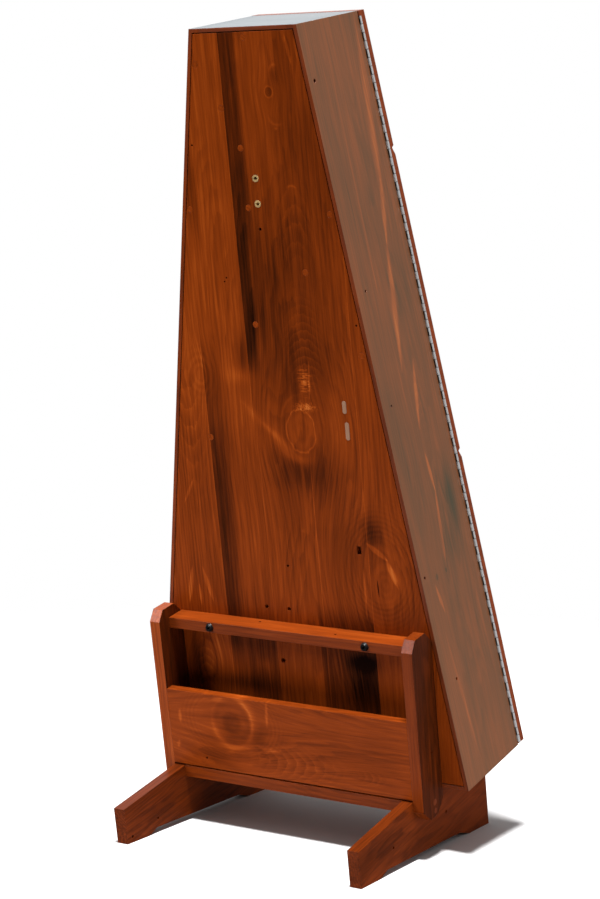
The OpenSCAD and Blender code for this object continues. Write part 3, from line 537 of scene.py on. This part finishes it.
# the pocket panel: its big knot, folds round it and arches beside it
POCKET_MARKS = [
    knot((88, 98), (43, 37), core=-0.02, rim=0.04, rim_width=0.06, rings=14.0),
    patch((83, 100), (24, 22), -0.22),
    crescent((88, 98), (45, 38), -70, 0.1, 0.16), crescent((88, 98), (48, 43), -40, 0.16, 0.12),
    crescent((86, 98), (40, 34), 150, 0.2, 0.16),
    patch((80, 165), (40, 30), 0.03), patch((28, 140), (18, 50), -0.12),
    sliver((98, 196), (76, 197), 3.0, 0.2, soft=1.0), sliver((44, 203), (32, 206), 3.0, 0.2, soft=1.0),
    sliver((128, 112), (124, 132), 3.0, 0.16, soft=1.0),
    sliver((135, 30), (88, 33), 2.6, 0.2, soft=0.9), sliver((54, 54), (48, 10), 4.0, 0.18, soft=1.0),
    patch((60, 50), (26, 14), -0.14),
    arches((32, -15), (26, 62), 17.0, -0.035, 0.2), arches((30, -150), (12, 20), 12.0, -0.08, 0.16),
    ripples((88, 98), 82, 44, 5.5, 0.03), patch((110, -100), (26, 90), 0.05),
]

# the door's boards, as seen from behind
DOOR_LOWER_MARKS = [
    seam(-150, -9, 490, 0.15), seam(0, -9, 490, 0.12), seam(140, -9, 490, 0.15),
    knot((96, 240), (14, 19), core=-0.1, rim=0.1, halo=-0.05), plank(90, 140, 300, 600, -0.16, soft=(20, 1)),
]
DOOR_MIDDLE_MARKS = [
    seam(-70, 470, 970, 0.15), seam(75, 470, 970, 0.12),
    knot((-30, 760), (11, 15), core=-0.12, rim=0.1, halo=-0.05),
]

# ---- every CAD node's material ----

cover("back_panel", wood("back_panel_pine", BACK, seed=1.0, pith=(-35, 75), tilt=(0.0, 0.05), ring=6.0,
                         eyes=BACK_EYES, planks=BACK_PLANKS, marks=BACK_MARKS, tone=0.57, lacquer=0.03))
# painted reflections on the hinge side board: a grey-brown sheen on its outer faces and a blue-grey glare
# where seen edge on
cover("hinge_side_board", wood("hinge_side_pine", HINGE_SIDE, seed=5.0, pith=(95, -50), tilt=(0.02, 0.01),
                               marks=SIDE_MARKS, tone=0.5, streak=0.34, painted_sheen=(OUT_NEAR, 0.22), painted_glare=PAINTED_GLARE_COLOUR,
                               lacquer=0.4))
# a painted blue-grey glare where the latch side, top and bottom boards are seen edge on
cover("latch_side_board", wood("latch_side_pine", LATCH_SIDE, seed=8.0, pith=(70, -60), tilt=(0.02, 0.03),
                               painted_glare=PAINTED_GLARE_COLOUR))
cover("top_board bottom_board", wood("end_board_pine", CROSS_TOP, seed=11.0, pith=(60, 50), tone=0.5,
                                     painted_glare=PAINTED_GLARE_COLOUR, lacquer=0.5))
cover("insert_brace bolt_brace soundboard_braces",
      wood("brace_pine", CROSS_BACK, seed=13.0, pith=(30, 60), tone=0.6))
cover("door_lower_board", wood("door_lower_pine", BACK, seed=21.0, pith=(-60, 260), tilt=(0.01, 0.04),
                               planks=[-150, 0, 140], marks=DOOR_LOWER_MARKS))
cover("door_middle_board", wood("door_middle_pine", BACK, seed=24.0, pith=(20, 250), tilt=(0.0, 0.05),
                                planks=[-70, 75], marks=DOOR_MIDDLE_MARKS))
cover("door_upper_board", wood("door_upper_pine", BACK, seed=27.0, pith=(-10, 255), planks=[10],
                               marks=[seam(10, 940, 1180, 0.15)]))
cover("door_battens", wood("batten_pine", BACK, seed=29.0, tone=0.6))
# painted shade on the uprights' faces turned towards -S; their different tones are partly the wood's own and
# partly painted light on the left upright and painted shade on the right one
cover("left_upright", wood("left_upright_pine", UPRIGHT, seed=33.0, pith=(30, 280), tilt=(0.02, 0.02),
                           tone=0.72, turned=(-S, -0.46), lacquer=0.14))
cover("right_upright", wood("right_upright_pine", UPRIGHT, seed=35.0, pith=(30, -280), tilt=(0.02, 0.02),
                            tone=0.5, turned=(-S, -0.26), lacquer=0.12))
cover("left_foot right_foot", wood("foot_pine", FOOT, seed=37.0, pith=(-60, 260), tilt=(0.03, 0.0), tone=0.38,
                                   cloud=0.36, lacquer=0.1))
# painted light: a lighter tone on the upward faces of the rail and the pocket floor
cover("top_rail pocket_floor", wood("rail_pine", CROSS_BACK, seed=41.0, pith=(40, 70), tone=0.5,
                                    turned=(V, 0.14), lacquer=0.12))
cover("pocket_panel", wood("pocket_panel_pine", CROSS_BACK, seed=44.0, pith=(60, 60), tilt=(0.05, 0.05),
                           ring=7.0, eyes=[((88, 98), 40)], marks=POCKET_MARKS, tone=0.6, lacquer=0.06))
cover("back_plugs", wood("plug_pine", PLUG, seed=47.0, pith=(500, 300), tone=0.63, cloud=0.2,
                         lacquer=0.05))
cover("stand_plugs", wood("stand_plug_pine", PLUG, seed=49.0, pith=(500, 300), tone=0.44, cloud=0.2))
cover("door_knob wrench_handle rosettes left_rail right_rail treble_bridges bass_bridges",
      wood("walnut_trim", BACK, seed=51.0, tone=0.3, ring=3.0))

MAPLE_STOPS = [(0.0, (0.2, 0.09, 0.03)), (0.5, (0.52, 0.32, 0.15)), (1.0, (0.78, 0.6, 0.38))]
cover("tool_rack left_hammer right_hammer stand_dowels left_pin_block right_pin_block",
      wood("maple", BACK, seed=55.0, ring=2.6, stops=MAPLE_STOPS, tone=0.55, streak=0.14))
CEDAR_STOPS = [(0.0, (0.2, 0.07, 0.02)), (0.5, (0.6, 0.32, 0.12)), (1.0, (0.85, 0.6, 0.32))]
cover("soundboard", wood("cedar", BACK, seed=59.0, pith=(900, 130), tilt=(0.0, 0.0), ring=2.2, ring_tone=0.25,
                         stops=CEDAR_STOPS, tone=0.6, streak=0.16))

# both hinge materials carry painted shade between the knuckles; the door leaf's also on its barrel towards
# the case
cover("hinge_case_leaf hinge_pin", hinge_metal("hinge_steel", False))
cover("hinge_door_leaf", hinge_metal("hinge_steel_notch_shade", True))
cover("hinge_case_screws hinge_door_screws batten_screws knob_screw catch_screws rack_screws stand_screws",
      metal("screw_steel", (0.6, 0.6, 0.6)))
cover("catch_strikes wrench_shaft tuning_pins hitch_pins",
      metal("bright_steel", (0.72, 0.72, 0.74), 0.24, sheen=0.7))
cover("bolt_bushes rail_rods", metal("brass", (0.92, 0.7, 0.34), 0.26, sheen=0.45))
cover("back_inserts", metal("aged_brass", (0.62, 0.42, 0.18), 0.36, sheen=0.4))
cover("stand_bolts", black_finish("black_oxide", 0.6, 0.38))
cover("catch_magnets bridge_rods", black_finish("black_plastic"))
cover("hammer_pads_left hammer_pads_right", leather("suede"))

# ---- strings: round wires with coils on the tuning pins and loops on the hitch pins ----

COURSE_PITCH = 32  # from a treble course to the next bass one, in millimetres as all below
FIRST_COURSE = 75
TREBLE_COUNT = 16
BOARD_T, BLOCK_W, RAIL_W = 18, 34, 8
STRING_R = 0.35
PAIR_GAP = 3  # half the distance between the two strings of a course
PIN_INSETS = {1: 10, -1: 22}  # the upper and the lower string's pins, from the inside of the side boards
HITCH_REACH, TUNING_REACH = 2.4, 3.9
ROD_TOP = 149.4
PIN_LEVEL = 148.6
BRIDGE_LEVEL = 153.4
LOOP_RISE, COIL_FALL = 0.8, 2.4
LOOP_STEPS, COIL_STEPS = 12, 36


def half_width(v, inset):
    """Half the case's width at height v, less inset measured square to its side, in millimetres."""
    return BOTTOM_HALF - v * math.tan(TAPER) - inset / math.cos(TAPER)


def turns(centre, reach, start, sweep, levels, steps):
    """Points round a pin from angle start through sweep, as its level goes between the two given."""
    made = []
    for step in range(steps + 1):
        share = step / steps
        angle = start + sweep * share
        level = levels[0] + (levels[1] - levels[0]) * share
        made.append(at(centre[0] + reach * math.cos(angle), centre[1] + reach * math.sin(angle), level))
    return made


def string_path(v, up, bridge_share):
    """One string's centre line, from its hitch pin over rods and bridge to its tuning pin."""
    z = v + up * PAIR_GAP
    inset = BOARD_T + PIN_INSETS[up]
    rod = half_width(z, BOARD_T + BLOCK_W - RAIL_W / 2)
    bridge = bridge_share * half_width(v, BOARD_T + BLOCK_W - RAIL_W / 2)
    hitch = (-half_width(v + up * (PAIR_GAP + HITCH_REACH), inset), z + up * HITCH_REACH)
    tuning = (half_width(v + up * (PAIR_GAP + TUNING_REACH), inset), z + up * TUNING_REACH)
    tangent = -up * math.pi / 2
    path = turns(hitch, HITCH_REACH, tangent - up * 2 * math.pi, up * 2 * math.pi,
                 (PIN_LEVEL - LOOP_RISE, PIN_LEVEL), LOOP_STEPS)
    path += [at(-rod, z, ROD_TOP), at(bridge, z, BRIDGE_LEVEL), at(rod, z, ROD_TOP)]
    path += turns(tuning, TUNING_REACH, tangent, up * 6 * math.pi,
                  (PIN_LEVEL, PIN_LEVEL - COIL_FALL), COIL_STEPS)
    return path


def new_object(name, data):
    """An object of the data, in the scene."""
    made = bpy.data.objects.new(name, data)
    bpy.context.scene.collection.objects.link(made)
    return made


def wires(name, node, courses, bridge_share, material):
    """Strings drawn as round wires, in place of a node's flat ones."""
    curve = bpy.data.curves.new(name, "CURVE")
    curve.dimensions = "3D"
    curve.bevel_depth = STRING_R * MM
    curve.bevel_resolution = 1
    for v in courses:
        for up in (-1, 1):
            points = string_path(v, up, bridge_share)
            spline = curve.splines.new("POLY")
            spline.points.add(len(points) - 1)
            for point, place in zip(spline.points, points):
                point.co = (*place, 1)
    curve.materials.append(material)
    strings = new_object(name, curve)
    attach(strings, "case_and_stand")
    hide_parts(node)


treble_courses = [FIRST_COURSE + 2 * COURSE_PITCH * i for i in range(TREBLE_COUNT)]
bass_courses = [FIRST_COURSE + COURSE_PITCH * (2 * i + 1) for i in range(TREBLE_COUNT - 1)]
TREBLE_BRIDGE, BASS_BRIDGE = -0.2, 0.62  # where the bridges stand, as shares of the half width
wires("treble_wires", "treble_strings", treble_courses, TREBLE_BRIDGE,
      metal("string_steel", (0.76, 0.76, 0.78), 0.2, sheen=0.7))
wires("bass_wires", "bass_strings", bass_courses, BASS_BRIDGE,
      metal("string_bronze", (0.86, 0.6, 0.3), 0.2, sheen=0.6))

# ---- filler patches let into the back panel ----

ROUND_STEPS = 24
PATCH_OUT, PATCH_T = 0.25, 0.2


def filler_patch(name, s, v, width, height, material):
    """A thin round-ended inlay of paler wood, standing a hair proud of the back."""
    mesh = bpy.data.meshes.new(name)
    build = bmesh.new()
    radius = width / 2
    ring = []
    for step in range(ROUND_STEPS):
        angle = 2 * math.pi * step / ROUND_STEPS
        rise = (height / 2 - radius) * (1 if math.sin(angle) >= 0 else -1)
        across, up = s + radius * math.cos(angle), v + rise + radius * math.sin(angle)
        ring.append(build.verts.new(at(across, up, -PATCH_OUT)))
    face = build.faces.new(ring)
    grown = bmesh.ops.extrude_face_region(build, geom=[face])
    for item in grown["geom"]:
        if isinstance(item, bmesh.types.BMVert):
            item.co += W * PATCH_T * MM
    bmesh.ops.recalc_face_normals(build, faces=build.faces)
    build.to_mesh(mesh)
    build.free()
    mesh.materials.append(material)
    inlay = new_object(name, mesh)
    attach(inlay, "case_and_stand")


PATCH_STOPS = [(0.0, (0.15, 0.065, 0.035)), (1.0, (0.4, 0.23, 0.15))]
patch_wood = wood("patch_pine", BACK, seed=61.0, ring=3.0, pith=(300, 300), stops=PATCH_STOPS, lacquer=0.1)
filler_patch("filler_upper", -118, 600, 7, 20, patch_wood)
filler_patch("filler_lower", -120, 563, 7, 28, patch_wood)

# ---- floor, light and camera ----

FLOOR_R = 3.0
SKY = 0.26

CAMERA_FROM_CASE = Vector((-1.6342, 2.8448, 0.9184))
YAW, PITCH, ROLL = (math.radians(a) for a in (30.33, -5.29, 1.05))
LENS, SENSOR = 83.8, 36


def floor():
    """A pale floor that fades into the white surroundings."""
    mesh = bpy.data.meshes.new("floor")
    build = bmesh.new()
    bmesh.ops.create_circle(build, cap_ends=True, segments=64, radius=FLOOR_R)
    build.to_mesh(mesh)
    build.free()
    ground = new_object("floor", mesh)
    g = Graph("pale_floor")
    spot = g.place()
    grain = g.noise(spot, scale=3.0, detail=3.0)
    away = g.node("ShaderNodeVectorMath", {0: spot}, operation="LENGTH").outputs["Value"]
    matt = g.node("ShaderNodeBsdfDiffuse", {"Color": g.mix(grain, (0.91, 0.91, 0.91), (0.95, 0.95, 0.95))})
    clear = g.node("ShaderNodeBsdfTransparent")
    share = g.step(away, 0.25 * FLOOR_R, 0.75 * FLOOR_R)
    fade = g.node("ShaderNodeMixShader", {0: share, 1: matt.outputs[0], 2: clear.outputs[0]})
    g.node("ShaderNodeOutputMaterial", {"Surface": fade.outputs[0]})
    mesh.materials.append(g.material)
    ground.visible_glossy = False
    return ground


def soft_box(name, place, aim, size, power, spares=None):
    """A square area light at place, pointing at aim, in metres and watts; it doesn't light spares."""
    data = bpy.data.lights.new(name, "AREA")
    data.size = size
    data.energy = power
    lamp = new_object(name, data)
    lamp.location = place
    lamp.rotation_mode = "QUATERNION"
    lamp.rotation_quaternion = (Vector(aim) - Vector(place)).to_track_quat("-Z", "Y")
    if spares:
        spared = bpy.data.collections.new(name + "_spares")
        spared.objects.link(spares)
        spared.collection_objects[0].light_linking.link_state = "EXCLUDE"
        lamp.light_linking.receiver_collection = spared
    return lamp


def surroundings():
    """White to the eye; to matt surfaces a soft sky; to glossy ones a bright room ahead, dark behind."""
    world = bpy.data.worlds.new("studio")
    bpy.context.scene.world = world
    world.use_nodes = True
    g = Graph("studio_nodes")
    bpy.data.materials.remove(g.material)
    g.tree = world.node_tree
    g.tree.nodes.clear()
    rays = g.node("ShaderNodeLightPath").outputs
    ray = g.node("ShaderNodeTexCoord").outputs["Generated"]
    x, y, z = g.node("ShaderNodeSeparateXYZ", {0: ray}).outputs
    room = g.mul(g.add(0.2, g.mul(g.step(x, -0.25, 0.3), 0.66)), g.step(z, -0.3, -0.02))
    mirrored = g.add(0.012, g.mul(g.step(y, 0.15, -0.55), room))
    sky = g.mul(g.step(z, -0.05, 0.5), SKY)
    level = g.add(
        rays["Is Camera Ray"],
        g.mul(rays["Is Glossy Ray"], mirrored),
        g.mul(g.sub(1.0, rays["Is Camera Ray"]), g.sub(1.0, rays["Is Glossy Ray"]), sky),
    )
    shine = g.node("ShaderNodeBackground", {"Color": (1, 1, 1, 1), "Strength": level})
    g.node("ShaderNodeOutputWorld", {0: shine.outputs[0]})


def camera():
    """The viewpoint: behind the case, on its hinge side, a little below its top."""
    data = bpy.data.cameras.new("camera")
    data.sensor_width = SENSOR
    data.lens = LENS
    view = new_object("camera", data)
    ahead = Vector((math.sin(YAW) * math.cos(PITCH), -math.cos(YAW) * math.cos(PITCH), math.sin(PITCH)))
    right = ahead.cross(Vector((0, 0, 1))).normalized()
    up = right.cross(ahead)
    right, up = (right * math.cos(ROLL) + up * math.sin(ROLL), up * math.cos(ROLL) - right * math.sin(ROLL))
    turn = Matrix((right, up, -ahead)).transposed()
    view.matrix_world = turn.to_4x4()
    view.location = ORIGIN - Vector((0, 0, ORIGIN.z)) + CAMERA_FROM_CASE
    bpy.context.scene.camera = view


ground = floor()
surroundings()
# only the overhead light reaches the floor, so that there is one shadow; the fills show in no reflection
soft_box("key", (3.5, 4.5, 3.4), (0, 0, 0.7), 2.0, 250, spares=ground)
soft_box("overhead", (-0.7, 1.6, 6.0), (0, 0, 0), 0.9, 640)
for light in (soft_box("side_fill", (-5.0, -1.2, 2.2), (0, 0, 0.6), 2.4, 120, spares=ground),
              soft_box("front_fill", (1.6, -5.0, 2.4), (0, 0, 0.6), 2.4, 320, spares=ground)):
    light.visible_glossy = False
camera()
bpy.context.scene.view_settings.view_transform = "Standard"
